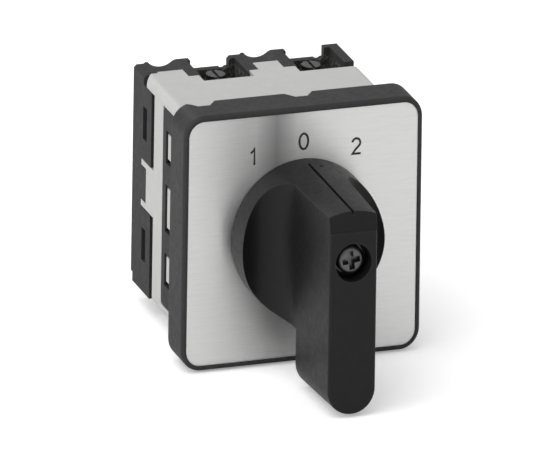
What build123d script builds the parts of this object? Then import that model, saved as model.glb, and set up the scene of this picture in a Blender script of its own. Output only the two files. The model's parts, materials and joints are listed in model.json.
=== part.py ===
"""Manual transfer switch 1-0-2: panel-front rotary cam switch with a 48 mm square front.

Frame: millimetres, +Z up, +X to the right of someone facing the front, +Y into the panel.
The origin is where the shaft axis crosses the bezel's rear face.
Stations along Y are named ..._Y; a negative value is in front of the panel plane.
"""
import os
from math import cos, pi, radians, sin, sqrt, tan

from build123d import *

os.makedirs("parts", exist_ok=True)

# ---------------------------------------------------------------- driving dimensions
BEZEL_SIZE = 48.0
BEZEL_CORNER = 4.0
BEZEL_FRONT_Y = -7.6
BEZEL_WALL = 2.95
RIM_WIDTH = 1.0
PLATE_THICKNESS = 0.8
PLATE_FRONT_Y = -7.4
WEB_BACK_Y = -4.6

BODY_SIZE = 41.5
BODY_CORNER = 1.5
SLAB_THICKNESS = 1.95
FLANGE_FRONT_Y = -4.4
FLANGE_BACK_Y = -2.4
CHEEK_BACK_Y = 13.5
GREY_BACK_Y = 18.6
SKIN_FRONT_Y = 20.3
COVER_FRONT_Y = 28.4
COVER_BACK_Y = 29.6
BODY_BACK_Y = 30.7
CAVITY_X = 29.6
CAVITY_Z = 31.2
CONTACT_PLANES = (20.6, 26.4)

PANEL_HOLE_PITCH = 36.0
PANEL_HOLE_R = 1.6
RELIEF_SIZE = 4.6
RELIEF_BACK_Y = 8.0

KNOB_R = 14.3
KNOB_RISE = 5.1
KNOB_DRAFT = 0.4
LEVER_WIDTH = 9.4
LEVER_REACH = 28.0
LEVER_TAPER = 0.032
TAIL_LENGTH = 23.7
TAIL_GAP = 11.4
TAIL_DROP = 0.45
TAIL_ROUND = 4.6
SCOOP_R = 5.5
SCREW_WELL_R = 3.6
SCREW_Z = 4.7

TURN_LIMIT = 30.0
CONTACT_TRAVEL = 1.2
SHAFT_SQUARE = 6.0
JOURNAL_R = 5.0
TAIL_JOURNAL_R = 2.6
RUNNING_GAP = 0.05
ASSEMBLY_GAP = 0.1

TIE_X = 16.6
TIE_Z = 6.5
TIE_R = 1.25
TIE_HOLE_R = 1.4
NUT_FLAT = 5.0
NUT_BACK_Y = -2.3

SLIDER_X = 4.8
SLIDER_Y = 5.8
DETENT_PLANE = 3.5
GUIDE_GAP = 0.1
GUIDE_RIB = 1.4
GUIDE_Z = 11.2
GUIDE_BACK_Y = 6.6
STOP_ARM_WIDTH = 3.6
STOP_ARM_REACH = 10.0
STOP_FRONT_Y = 7.4
STOP_BACK_Y = 10.4
STOP_INNER = 6.5
STOP_LENGTH = 11.5
STOP_PAD = 2.4

WINDOW_BANDS = ((8.5, 14.7), (-4.5, 4.5), (-14.7, -8.5))
WINDOW_BACK_Y = 11.8
WINDOW_DEPTH = 2.3
POCKET_CENTRES = (-5.7, 13.7)

HALF_BODY = BODY_SIZE / 2
SLAB_Z = HALF_BODY - SLAB_THICKNESS
PLATE_SIZE = BEZEL_SIZE - 2 * RIM_WIDTH
RISER_X = 9.5
TIE_SPOTS = ((TIE_X, TIE_Z), (-TIE_X, -TIE_Z))


# ---------------------------------------------------------------- helpers
def at_back(y_back):
    """Sketch plane facing the front, with local x = +X and local y = +Z, at the given station."""
    return Plane.XZ.offset(-y_back)


def mirrored_spots(x, z):
    """The spot and its half-turn copy about the shaft axis."""
    return [(x, z), (-x, -z)]


def save(piece, name):
    """Label a finished piece and write its STEP file."""
    piece.part.label = name
    export_step(piece.part, f"parts/{name}.step")


# ---------------------------------------------------------------- bezel and legend plate
NOTCH_DEPTH = 2.0
NOTCH_CENTRES = (-18.2, 1.4)
NOTCH_FLOOR = 2.4
NOTCH_MOUTH = 5.6
SEAL_BORE_R = 7.0
SEAL_FRONT_Y = -6.4
SEAL_BACK_Y = -4.8
SEAL_ROUND = 0.4
BEZEL_ROUND = 0.8
HALF_BEZEL = BEZEL_SIZE / 2

with BuildPart() as bezel_frame:
    with BuildSketch(at_back(0)):
        RectangleRounded(BEZEL_SIZE, BEZEL_SIZE, BEZEL_CORNER)
    extrude(amount=-BEZEL_FRONT_Y)
    fillet(bezel_frame.faces().sort_by(Axis.Y)[0].edges(), radius=BEZEL_ROUND)
    with BuildSketch(at_back(PLATE_FRONT_Y + PLATE_THICKNESS)):
        plate_bed = PLATE_SIZE + ASSEMBLY_GAP
        RectangleRounded(plate_bed, plate_bed, BEZEL_CORNER - RIM_WIDTH)
    extrude(amount=PLATE_THICKNESS + 1, mode=Mode.SUBTRACT)
    with BuildSketch(at_back(0)):
        bezel_inside = BEZEL_SIZE - 2 * BEZEL_WALL
        RectangleRounded(bezel_inside, bezel_inside, BODY_CORNER)
    extrude(amount=-WEB_BACK_Y, mode=Mode.SUBTRACT)
    with BuildSketch(at_back(0)):
        Circle(SEAL_BORE_R)
    extrude(amount=-BEZEL_FRONT_Y, mode=Mode.SUBTRACT)
    for side in (1, -1):
        with BuildSketch(Plane.XY.offset(side * (HALF_BEZEL - BEZEL_WALL / 2))):
            for centre in NOTCH_CENTRES:
                with BuildLine():
                    Polyline(
                        (side * (centre - NOTCH_MOUTH / 2), 0),
                        (side * (centre - NOTCH_FLOOR / 2), -NOTCH_DEPTH),
                        (side * (centre + NOTCH_FLOOR / 2), -NOTCH_DEPTH),
                        (side * (centre + NOTCH_MOUTH / 2), 0),
                        close=True,
                    )
                make_face()
        extrude(amount=BEZEL_WALL, both=True, mode=Mode.SUBTRACT)
save(bezel_frame, "bezel_frame")

with BuildPart() as legend_plate:
    with BuildSketch(at_back(PLATE_FRONT_Y + PLATE_THICKNESS)):
        RectangleRounded(PLATE_SIZE, PLATE_SIZE, BEZEL_CORNER - RIM_WIDTH - ASSEMBLY_GAP)
        Circle(SEAL_BORE_R, mode=Mode.SUBTRACT)
    extrude(amount=PLATE_THICKNESS)
save(legend_plate, "legend_plate")

with BuildPart() as shaft_seal:
    with BuildSketch(at_back(SEAL_BACK_Y)):
        Circle(SEAL_BORE_R - RUNNING_GAP)
        Circle(JOURNAL_R + RUNNING_GAP, mode=Mode.SUBTRACT)
    extrude(amount=SEAL_BACK_Y - SEAL_FRONT_Y)
    fillet(shaft_seal.edges().filter_by(GeomType.CIRCLE), radius=SEAL_ROUND)
save(shaft_seal, "shaft_seal")

# ---------------------------------------------------------------- front frame (detent housing)
DETENT_CAVITY_X = 26.0
DETENT_CAVITY_Z = 31.0
DETENT_FRONT_Y = -0.5
DETENT_COVER_THICKNESS = 1.5
LATCH_SLOT_DEPTH = 1.8
GUIDE_X = SLIDER_X / 2 + GUIDE_GAP + GUIDE_RIB / 2
GUIDE_LENGTH = DETENT_CAVITY_Z / 2 - GUIDE_Z
CHEEK_CHAMFER = 0.9
CHEEK_Z = SLAB_Z - ASSEMBLY_GAP

with BuildPart() as front_frame:
    with BuildSketch(at_back(FLANGE_BACK_Y)):
        RectangleRounded(BODY_SIZE, BODY_SIZE, BODY_CORNER)
    extrude(amount=FLANGE_BACK_Y - FLANGE_FRONT_Y)
    with BuildSketch(at_back(CHEEK_BACK_Y)):
        Rectangle(BODY_SIZE, 2 * CHEEK_Z)
    extrude(amount=CHEEK_BACK_Y - FLANGE_BACK_Y)
    chamfer(
        front_frame.edges().filter_by(Axis.X).group_by(Axis.Y)[-1],
        length=CHEEK_CHAMFER,
    )
    with BuildSketch(at_back(CHEEK_BACK_Y)):
        Rectangle(DETENT_CAVITY_X, DETENT_CAVITY_Z)
    extrude(amount=CHEEK_BACK_Y - DETENT_FRONT_Y, mode=Mode.SUBTRACT)
    with BuildSketch(at_back(DETENT_FRONT_Y)):
        Circle(JOURNAL_R + RUNNING_GAP)
    extrude(amount=DETENT_FRONT_Y - FLANGE_FRONT_Y, mode=Mode.SUBTRACT)
    with BuildSketch(at_back(RELIEF_BACK_Y)):
        with GridLocations(PANEL_HOLE_PITCH, PANEL_HOLE_PITCH, 2, 2):
            Rectangle(RELIEF_SIZE, RELIEF_SIZE)
    extrude(amount=RELIEF_BACK_Y - FLANGE_BACK_Y, mode=Mode.SUBTRACT)
    with BuildSketch(at_back(FLANGE_BACK_Y)):
        with GridLocations(PANEL_HOLE_PITCH, PANEL_HOLE_PITCH, 2, 2):
            Circle(PANEL_HOLE_R)
    extrude(amount=FLANGE_BACK_Y - FLANGE_FRONT_Y, mode=Mode.SUBTRACT)
    with BuildSketch(at_back(WINDOW_BACK_Y)):
        for low, high in WINDOW_BANDS:
            with Locations((0, (low + high) / 2)):
                Rectangle(BODY_SIZE + 1, high - low)
        Rectangle(BODY_SIZE - 2 * WINDOW_DEPTH, BODY_SIZE, mode=Mode.SUBTRACT)
    extrude(amount=WINDOW_BACK_Y, mode=Mode.SUBTRACT)
    with BuildSketch(at_back(CHEEK_BACK_Y)):
        for low, high in WINDOW_BANDS:
            with Locations((0, (low + high) / 2)):
                Rectangle(BODY_SIZE - 2 * (WINDOW_DEPTH - LATCH_SLOT_DEPTH), high - low)
        Rectangle(BODY_SIZE - 2 * WINDOW_DEPTH, BODY_SIZE, mode=Mode.SUBTRACT)
    extrude(amount=CHEEK_BACK_Y - WINDOW_BACK_Y, mode=Mode.SUBTRACT)
    with BuildSketch(at_back(CHEEK_BACK_Y)):
        with Locations(*TIE_SPOTS):
            Circle(TIE_HOLE_R)
    extrude(amount=CHEEK_BACK_Y - FLANGE_FRONT_Y, mode=Mode.SUBTRACT)
    with BuildSketch(at_back(NUT_BACK_Y)):
        with Locations(*TIE_SPOTS):
            RegularPolygon(NUT_FLAT / 2 + RUNNING_GAP, 6, major_radius=False)
    extrude(amount=NUT_BACK_Y - FLANGE_FRONT_Y, mode=Mode.SUBTRACT)
    with BuildSketch(at_back(GUIDE_BACK_Y)):
        for side in (1, -1):
            with Locations(*mirrored_spots(side * GUIDE_X, GUIDE_Z + GUIDE_LENGTH / 2)):
                Rectangle(GUIDE_RIB, GUIDE_LENGTH)
    extrude(amount=GUIDE_BACK_Y - DETENT_FRONT_Y)
    with BuildSketch(at_back(STOP_BACK_Y)):
        for turn in (1, -1):
            with PolarLocations(0, 1, start_angle=turn * TURN_LIMIT):
                with Locations((STOP_INNER, turn * (STOP_ARM_WIDTH / 2 + ASSEMBLY_GAP))):
                    far_side = Align.MIN if turn > 0 else Align.MAX
                    Rectangle(STOP_LENGTH, STOP_PAD, align=(Align.MIN, far_side))
    extrude(amount=STOP_BACK_Y - STOP_FRONT_Y + 2 * ASSEMBLY_GAP)
save(front_frame, "front_frame")

with BuildPart() as detent_cover:
    with BuildSketch(at_back(CHEEK_BACK_Y - ASSEMBLY_GAP)):
        Rectangle(DETENT_CAVITY_X - 2 * ASSEMBLY_GAP, DETENT_CAVITY_Z - 2 * ASSEMBLY_GAP)
        Circle(JOURNAL_R, mode=Mode.SUBTRACT)
    extrude(amount=DETENT_COVER_THICKNESS)
save(detent_cover, "detent_cover")

# ---------------------------------------------------------------- stage housings
FINGERS = (
    (-19.8, -17.95, 24.6),
    (-17.95, -12.85, 25.2),
    (-12.85, -10.8, 21.6),
    (-10.8, -0.6, 17.2),
    (-0.6, 1.35, 21.6),
    (1.35, 6.35, 25.1),
    (6.35, 8.65, 21.5),
    (8.65, 18.8, 16.7),
)
TONGUE_HALF = 4.4
TONGUE_BACK_Y = 22.9
TIP_HEIGHT = 1.1
TIP_BACK_Y = 25.6
SKIN_DEPTH = 1.2
SIDE_CORE_X = BODY_SIZE - 2 * (SKIN_DEPTH + ASSEMBLY_GAP)
TONGUE_ROOT = 1.0
FINGER_CHAMFER = (0.4, 1.5)
SLAB_FRONT_Y = FLANGE_BACK_Y + 0.2
LATCH_THICKNESS = 1.1
LATCH_SINK = 1.2
LATCH_FRONT_Y = 1.2
HOOK_BACK_Y = 11.0
HOOK_THICKNESS = 1.6
HOOK_SINK = 0.15
HOOK_GAPS = (1.0, 0.5)
CAVITY_FLOOR_Y = 15.0


def slab_outline():
    """Top slab of the grey housing seen from above, local x = +X and local y = +Y."""
    inset, setback = FINGER_CHAMFER
    points = [(-HALF_BODY, SLAB_FRONT_Y), (-HALF_BODY, FINGERS[0][2] - setback)]
    points += [(FINGERS[0][0] + inset, FINGERS[0][2]), FINGERS[0][1:]]
    for left, right, back in FINGERS[1:]:
        points += [(left, back), (right, back)]
    points += [(HALF_BODY, GREY_BACK_Y), (HALF_BODY, SLAB_FRONT_Y)]
    return points


def latch_band(low, high):
    """Middle height and height of the latch arm that passes through a window band."""
    below, above = HOOK_GAPS
    return (low + below + high - above) / 2, high - low - below - above


with BuildPart() as grey_housing:
    with BuildSketch(at_back(GREY_BACK_Y)):
        RectangleRounded(BODY_SIZE, BODY_SIZE, BODY_CORNER)
    extrude(amount=GREY_BACK_Y - CHEEK_BACK_Y - ASSEMBLY_GAP)
    for side in (1, -1):
        with BuildSketch(Plane.XY.offset(side * SLAB_Z)):
            with BuildLine():
                Polyline(*[(side * x, y) for x, y in slab_outline()], close=True)
            make_face()
        extrude(amount=side * SLAB_THICKNESS)
        with BuildSketch(at_back(TONGUE_BACK_Y)):
            with Locations((side * (HALF_BODY - SKIN_DEPTH / 2), 0)):
                Rectangle(SKIN_DEPTH, 2 * TONGUE_HALF)
        extrude(amount=TONGUE_BACK_Y - GREY_BACK_Y + TONGUE_ROOT)
        with BuildSketch(at_back(TIP_BACK_Y)):
            tip_z = TONGUE_HALF - TIP_HEIGHT / 2
            with Locations(*mirrored_spots(0, tip_z)):
                with Locations((side * (HALF_BODY - SKIN_DEPTH / 2), 0)):
                    Rectangle(SKIN_DEPTH, TIP_HEIGHT)
        extrude(amount=TIP_BACK_Y - GREY_BACK_Y)
        with BuildSketch(at_back(CHEEK_BACK_Y + TONGUE_ROOT)):
            for low, high in WINDOW_BANDS:
                latch_z, latch_height = latch_band(low, high)
                with Locations((side * (HALF_BODY - LATCH_SINK), latch_z)):
                    Rectangle(LATCH_THICKNESS, latch_height)
        extrude(amount=CHEEK_BACK_Y + TONGUE_ROOT - LATCH_FRONT_Y)
        with BuildSketch(at_back(HOOK_BACK_Y)):
            for low, high in WINDOW_BANDS:
                hook_x = side * (HALF_BODY - HOOK_SINK - HOOK_THICKNESS / 2)
                latch_z, latch_height = latch_band(low, high)
                with Locations((hook_x, latch_z)):
                    Rectangle(HOOK_THICKNESS, latch_height)
        extrude(amount=HOOK_BACK_Y - LATCH_FRONT_Y)
    with BuildSketch(at_back(BODY_BACK_Y)):
        RectangleRounded(BODY_SIZE, BODY_SIZE, BODY_CORNER)
    extrude(amount=BODY_BACK_Y - FLANGE_FRONT_Y, mode=Mode.INTERSECT)
    with BuildSketch(at_back(GREY_BACK_Y)):
        Rectangle(CAVITY_X, CAVITY_Z)
    extrude(amount=GREY_BACK_Y - CAVITY_FLOOR_Y, mode=Mode.SUBTRACT)
    with BuildSketch(at_back(CAVITY_FLOOR_Y)):
        Circle(JOURNAL_R)
        with Locations(*TIE_SPOTS):
            Circle(TIE_HOLE_R)
    extrude(amount=CAVITY_FLOOR_Y - CHEEK_BACK_Y, mode=Mode.SUBTRACT)
    with BuildSketch(at_back(GREY_BACK_Y)):
        with Locations(*TIE_SPOTS):
            Circle(TIE_HOLE_R)
    extrude(amount=GREY_BACK_Y - CHEEK_BACK_Y, mode=Mode.SUBTRACT)
    with BuildSketch(at_back(RELIEF_BACK_Y)):
        with GridLocations(PANEL_HOLE_PITCH, PANEL_HOLE_PITCH, 2, 2):
            Circle(PANEL_HOLE_R)
    extrude(amount=RELIEF_BACK_Y - FLANGE_FRONT_Y, mode=Mode.SUBTRACT)
save(grey_housing, "grey_housing")

# ---------------------------------------------------------------- contact housing
RELIEF_Z = SLAB_Z - ASSEMBLY_GAP
PEAK_Z = 20.75
CREST_FRONT_Y = 21.0
CREST_GAP = 0.15
REAR_PERIOD = 19.4
CREST_START = -2.05
END_BLOCK_X = 18.9
END_BLOCK_WIDTH = 3.1
POCKET_SPANS = ((-10.8, -0.6), (8.65, 18.8))
POCKET_BACK_Y = 29.2
POCKET_RIM_Z = 19.2
POCKET_FLOOR_Z = 16.4
POCKET_WALL = 0.3
RIM_INSETS = (0.95, 1.45)
RIM_FRONT_Y = 16.0
RIM_BACK_Y = 32.0
WIRE_NOTCH_R = 0.8
WIRE_NOTCH_INSET = 2.5
WIRE_NOTCH_DEPTH = 2.0
CREST_CLEAR = 5.0
LEFT_RELIEF = 3.0
RIGHT_RELIEF = 4.2
STRIP_THICKNESS = 0.8
STRIP_WIDTH = 3.4
STRIP_INNER_X = 5.0
FIXED_STRIP_Z = 6.7
TERMINAL_HOLE_R = 1.4
TERMINAL_HOLE_DEPTH = 3.4
RISER_SLOT_HEIGHT = 4.0
RISER_SLOT_RISE = 0.5
RIB_SETBACK = 0.5
SIDE_SLOT_BAND = (8.4, 14.6)
SIDE_SLOT_Y = (22.8, 25.0)
SIDE_SLOT_DEPTH = 1.0
COVER_X = 37.0
CARRIER_X = 5.6
CARRIER_RIB_Z = 12.0


def crest_outline(turn, shift, start):
    """Outline of one raised rear crest: block, rib, wire cradle and peak; turn is 1 or -1."""
    base = RELIEF_Z - 1

    def spot(x, z):
        return (turn * (x + shift), turn * z)

    cradle = (spot(-13.0, PEAK_Z - 0.2), spot(-15.3, PEAK_Z - 1.1), spot(-17.5, PEAK_Z - 0.5))
    Polyline(
        cradle[2],
        spot(-18.0, PEAK_Z),
        spot(-18.5, PEAK_Z),
        spot(-18.8, PEAK_Z - 0.25),
        spot(start + 0.5, PEAK_Z - 0.25),
        spot(start, PEAK_Z - 0.75),
        spot(start, base),
        spot(-9.85, base),
        spot(-9.85, PEAK_Z),
        spot(-12.4, PEAK_Z),
        cradle[0],
    )
    ThreePointArc(*cradle)


with BuildPart() as contact_housing:
    with BuildSketch(at_back(BODY_BACK_Y)):
        Rectangle(BODY_SIZE, 2 * RELIEF_Z)
    extrude(amount=BODY_BACK_Y - SKIN_FRONT_Y)
    with BuildSketch(at_back(SKIN_FRONT_Y)):
        Rectangle(SIDE_CORE_X, 2 * RELIEF_Z)
    extrude(amount=SKIN_FRONT_Y - GREY_BACK_Y - ASSEMBLY_GAP)
    for turn in (1, -1):
        with BuildSketch(at_back(BODY_BACK_Y)):
            with BuildLine():
                crest_outline(turn, 0, -HALF_BODY)
            make_face()
            with BuildLine():
                crest_outline(turn, REAR_PERIOD, CREST_START - REAR_PERIOD)
            make_face()
            with Locations((turn * END_BLOCK_X, turn * (PEAK_Z + RELIEF_Z - 1) / 2)):
                Rectangle(END_BLOCK_WIDTH, PEAK_Z - RELIEF_Z + 1)
        extrude(amount=BODY_BACK_Y - CREST_FRONT_Y)
    for side in (1, -1):
        with BuildSketch(Plane.XY.offset(side * RELIEF_Z)):
            for left, right, back in FINGERS:
                with Locations((side * (left + right) / 2, (back + CREST_GAP) / 2)):
                    Rectangle(right - left + 2 * CREST_GAP, back + CREST_GAP)
            with Locations((side * -HALF_BODY, FINGERS[0][2] / 2)):
                Rectangle(LEFT_RELIEF, FINGERS[0][2] + 2 * CREST_GAP)
            with Locations((side * HALF_BODY, GREY_BACK_Y / 2)):
                Rectangle(RIGHT_RELIEF, GREY_BACK_Y)
        extrude(amount=side * CREST_CLEAR, mode=Mode.SUBTRACT)
        for left, right in POCKET_SPANS:
            middle = side * (left + right) / 2
            with BuildSketch(Plane.XY.offset(side * POCKET_FLOOR_Z)):
                with Locations((middle, (POCKET_BACK_Y + GREY_BACK_Y) / 2)):
                    Rectangle(right - left - 2 * POCKET_WALL, POCKET_BACK_Y - GREY_BACK_Y)
            extrude(amount=side * CREST_CLEAR, mode=Mode.SUBTRACT)
            rim_left = left + RIM_INSETS[0]
            rim_right = right - RIM_INSETS[1]
            with BuildSketch(Plane.XY.offset(side * POCKET_RIM_Z)):
                with Locations((side * (rim_left + rim_right) / 2, (RIM_FRONT_Y + RIM_BACK_Y) / 2)):
                    Rectangle(rim_right - rim_left, RIM_BACK_Y - RIM_FRONT_Y)
            extrude(amount=side * CREST_CLEAR, mode=Mode.SUBTRACT)
            with BuildSketch(at_back(BODY_BACK_Y)):
                with Locations((side * (right - WIRE_NOTCH_INSET), side * POCKET_RIM_Z)):
                    Circle(WIRE_NOTCH_R)
            extrude(amount=WIRE_NOTCH_DEPTH, mode=Mode.SUBTRACT)
    with BuildSketch(at_back(COVER_FRONT_Y)):
        Rectangle(CAVITY_X, CAVITY_Z)
    extrude(amount=COVER_FRONT_Y - GREY_BACK_Y, mode=Mode.SUBTRACT)
    with BuildSketch(at_back(BODY_BACK_Y)):
        Rectangle(COVER_X, CAVITY_Z)
    extrude(amount=BODY_BACK_Y - COVER_FRONT_Y, mode=Mode.SUBTRACT)
    with BuildSketch(at_back(BODY_BACK_Y)):
        with Locations(*TIE_SPOTS):
            Circle(TIE_HOLE_R)
    extrude(amount=BODY_BACK_Y - GREY_BACK_Y, mode=Mode.SUBTRACT)
    with BuildSketch(at_back(TONGUE_BACK_Y + CREST_GAP)):
        Rectangle(BODY_SIZE + 1, 2 * (TONGUE_HALF + CREST_GAP))
        Rectangle(SIDE_CORE_X, BODY_SIZE, mode=Mode.SUBTRACT)
    extrude(amount=TONGUE_BACK_Y - GREY_BACK_Y, mode=Mode.SUBTRACT)
    with BuildSketch(at_back(TIP_BACK_Y + CREST_GAP)):
        for end in (1, -1):
            with Locations((0, end * (TONGUE_HALF - TIP_HEIGHT / 2))):
                Rectangle(BODY_SIZE + 1, TIP_HEIGHT + 2 * CREST_GAP)
        Rectangle(SIDE_CORE_X, BODY_SIZE, mode=Mode.SUBTRACT)
    extrude(amount=TIP_BACK_Y - GREY_BACK_Y, mode=Mode.SUBTRACT)
    with BuildSketch(at_back(SIDE_SLOT_Y[1])):
        for end in (1, -1):
            with Locations((0, end * (SIDE_SLOT_BAND[0] + SIDE_SLOT_BAND[1]) / 2)):
                Rectangle(BODY_SIZE + 1, SIDE_SLOT_BAND[1] - SIDE_SLOT_BAND[0])
        Rectangle(BODY_SIZE - 2 * SIDE_SLOT_DEPTH, BODY_SIZE, mode=Mode.SUBTRACT)
    extrude(amount=SIDE_SLOT_Y[1] - SIDE_SLOT_Y[0], mode=Mode.SUBTRACT)
    with BuildSketch(at_back(COVER_FRONT_Y)):
        for side in (1, -1):
            for end in (1, -1):
                with Locations((side * RISER_X, end * (CAVITY_Z / 2 + RISER_SLOT_RISE))):
                    Rectangle(STRIP_THICKNESS + 2 * RUNNING_GAP, RISER_SLOT_HEIGHT)
    extrude(amount=COVER_FRONT_Y - GREY_BACK_Y, mode=Mode.SUBTRACT)
    with BuildSketch(at_back(COVER_FRONT_Y)):
        for side in (1, -1):
            rib_x = side * (CARRIER_X / 2 + GUIDE_GAP + GUIDE_RIB / 2)
            with Locations(*mirrored_spots(rib_x, (CARRIER_RIB_Z + CAVITY_Z / 2) / 2)):
                Rectangle(GUIDE_RIB, CAVITY_Z / 2 - CARRIER_RIB_Z)
    extrude(amount=COVER_FRONT_Y - GREY_BACK_Y - RIB_SETBACK)
    for side in (1, -1):
        with BuildSketch(Plane.XY.offset(side * POCKET_FLOOR_Z)):
            for left, right in POCKET_SPANS:
                for plane in CONTACT_PLANES:
                    with Locations((side * (left + right) / 2, plane)):
                        Circle(TERMINAL_HOLE_R)
        extrude(amount=-side * TERMINAL_HOLE_DEPTH, mode=Mode.SUBTRACT)
save(contact_housing, "contact_housing")

COVER_CORNER = 0.5
DIVIDER_BACK_Y = 23.9
DIVIDER_THICKNESS = 0.8
DIVIDER_HEIGHT = 23.4
DIVIDER_GAP = 0.2

with BuildPart() as rear_cover:
    with BuildSketch(at_back(COVER_BACK_Y)):
        RectangleRounded(COVER_X - 2 * ASSEMBLY_GAP, CAVITY_Z - 2 * ASSEMBLY_GAP, COVER_CORNER)
        Circle(TAIL_JOURNAL_R + RUNNING_GAP, mode=Mode.SUBTRACT)
        with Locations(*TIE_SPOTS):
            Circle(TIE_HOLE_R, mode=Mode.SUBTRACT)
    extrude(amount=COVER_BACK_Y - COVER_FRONT_Y)
save(rear_cover, "rear_cover")

with BuildPart() as stage_divider:
    with BuildSketch(at_back(DIVIDER_BACK_Y)):
        RectangleRounded(CAVITY_X - 2 * DIVIDER_GAP, DIVIDER_HEIGHT, COVER_CORNER)
        Circle(JOURNAL_R + DIVIDER_GAP, mode=Mode.SUBTRACT)
    extrude(amount=DIVIDER_THICKNESS)
save(stage_divider, "stage_divider")

# ---------------------------------------------------------------- tie screws and nuts
TIE_HEAD_R = 1.8
TIE_HEAD_Y = BODY_BACK_Y - 0.05
TIE_TIP_Y = -3.4
DRIVE_SLOT = 0.6
NUT_THICKNESS = 1.9

with BuildPart() as tie_screws:
    for spot in TIE_SPOTS:
        with BuildSketch(at_back(TIE_HEAD_Y)):
            with Locations(spot):
                Circle(TIE_HEAD_R)
        extrude(amount=TIE_HEAD_Y - COVER_BACK_Y)
        with BuildSketch(at_back(COVER_BACK_Y)):
            with Locations(spot):
                Circle(TIE_R)
        extrude(amount=COVER_BACK_Y - TIE_TIP_Y)
    with BuildSketch(at_back(BODY_BACK_Y)):
        with Locations(*TIE_SPOTS):
            Rectangle(2 * TIE_HEAD_R, DRIVE_SLOT)
    extrude(amount=DRIVE_SLOT, mode=Mode.SUBTRACT)
save(tie_screws, "tie_screws")

with BuildPart() as tie_nuts:
    with BuildSketch(at_back(NUT_BACK_Y - RUNNING_GAP)):
        with Locations(*TIE_SPOTS):
            RegularPolygon(NUT_FLAT / 2, 6, major_radius=False)
            Circle(TIE_R + RUNNING_GAP, mode=Mode.SUBTRACT)
    extrude(amount=NUT_THICKNESS)
save(tie_nuts, "tie_nuts")

# ---------------------------------------------------------------- fixed contacts and terminals
PAD_REACH = 3.6
TIP_R = 1.1
TIP_THICKNESS = 0.5
TIP_X = 6.4
SCREW_HEAD_R = 1.85
SCREW_HEAD_HEIGHT = 1.3
WASHER_THICKNESS = 0.4
WASHER_SIZE = 3.8
SCREW_LENGTH = 4.2


def strip_pieces(side, pocket_middle):
    """Centres and sizes, in the XZ plane, of a strip's blade, riser and terminal pad."""
    riser = side * RISER_X
    outer = riser + side * STRIP_THICKNESS / 2
    pad_far = pocket_middle + PAD_REACH
    pad_near = riser - STRIP_THICKNESS / 2
    top = POCKET_FLOOR_Z + STRIP_THICKNESS
    return (
        ((side * STRIP_INNER_X + outer) / 2, FIXED_STRIP_Z + STRIP_THICKNESS / 2,
         abs(outer - side * STRIP_INNER_X), STRIP_THICKNESS),
        (riser, (FIXED_STRIP_Z + top) / 2, STRIP_THICKNESS, top - FIXED_STRIP_Z),
        ((pad_near + pad_far) / 2, top - STRIP_THICKNESS / 2, pad_far - pad_near, STRIP_THICKNESS),
    )


for number, plane in enumerate(CONTACT_PLANES, start=1):
    with BuildPart() as fixed_contacts:
        with BuildSketch(at_back(plane + STRIP_WIDTH / 2)):
            for turn in (1, -1):
                for side, pocket in ((-1, POCKET_CENTRES[0]), (1, POCKET_CENTRES[1])):
                    for x, z, width, height in strip_pieces(side, pocket):
                        with Locations((turn * x, turn * z)):
                            Rectangle(width, height)
        extrude(amount=STRIP_WIDTH)
        for turn in (1, -1):
            with BuildSketch(Plane.XY.offset(turn * POCKET_FLOOR_Z)):
                for pocket in POCKET_CENTRES:
                    with Locations((turn * pocket, plane)):
                        Circle(TERMINAL_HOLE_R)
            extrude(amount=turn * STRIP_THICKNESS, mode=Mode.SUBTRACT)
    save(fixed_contacts, f"stage{number}_fixed_contacts")

    with BuildPart() as fixed_tips:
        for turn in (1, -1):
            with BuildSketch(Plane.XY.offset(turn * (FIXED_STRIP_Z + STRIP_THICKNESS))):
                with Locations((TIP_X, plane), (-TIP_X, plane)):
                    Circle(TIP_R)
            extrude(amount=turn * TIP_THICKNESS)
    save(fixed_tips, f"stage{number}_fixed_tips")

with BuildPart() as terminal_screws:
    for turn in (1, -1):
        for pocket in POCKET_CENTRES:
            for plane in CONTACT_PLANES:
                head_z = POCKET_FLOOR_Z + STRIP_THICKNESS + WASHER_THICKNESS
                with BuildSketch(Plane.XY.offset(turn * head_z)):
                    with Locations((turn * pocket, plane)):
                        Circle(SCREW_HEAD_R)
                extrude(amount=turn * SCREW_HEAD_HEIGHT)
                with BuildSketch(Plane.XY.offset(turn * (head_z + SCREW_HEAD_HEIGHT))):
                    with Locations((turn * pocket, plane)):
                        Rectangle(DRIVE_SLOT, 2 * SCREW_HEAD_R)
                extrude(amount=-turn * SCREW_HEAD_HEIGHT / 2, mode=Mode.SUBTRACT)
                with BuildSketch(Plane.XY.offset(turn * head_z)):
                    with Locations((turn * pocket, plane)):
                        Circle(TIE_R)
                extrude(amount=-turn * SCREW_LENGTH)
save(terminal_screws, "terminal_screws")

with BuildPart() as terminal_washers:
    for turn in (1, -1):
        with BuildSketch(Plane.XY.offset(turn * (POCKET_FLOOR_Z + STRIP_THICKNESS))):
            for pocket in POCKET_CENTRES:
                for plane in CONTACT_PLANES:
                    with Locations((turn * pocket, plane)):
                        Rectangle(WASHER_SIZE, WASHER_SIZE)
                        Circle(TIE_R + RUNNING_GAP, mode=Mode.SUBTRACT)
        extrude(amount=turn * WASHER_THICKNESS)
save(terminal_washers, "terminal_washers")

# ---------------------------------------------------------------- moving contacts
CAM_MEAN_R = 6.5
CAM_THICKNESS = 3.4
FOLLOWER_GAP = 0.14
CARRIER_Y = 3.6
CARRIER_TOP_Z = 13.0
BRIDGE_Z = 9.72
BRIDGE_X = 15.2
BRIDGE_THICKNESS = 0.8
STEM_R = 0.8
SPRING_R = 1.7
SPRING_WIRE_R = 0.2
SPRING_TURNS = 3
SPRING_SEAT = 0.02
FOOT_HALF = 1.0
FOOT_RISE = 0.5
FOOT_SHOULDER = 2.0
SLOT_MARGIN = 1.0
CHEEK_PLATE = 0.4
STEM_LENGTH = 1.2
BRIDGE_Y = 2.6
BRIDGE_CORNER = 1.0


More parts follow.
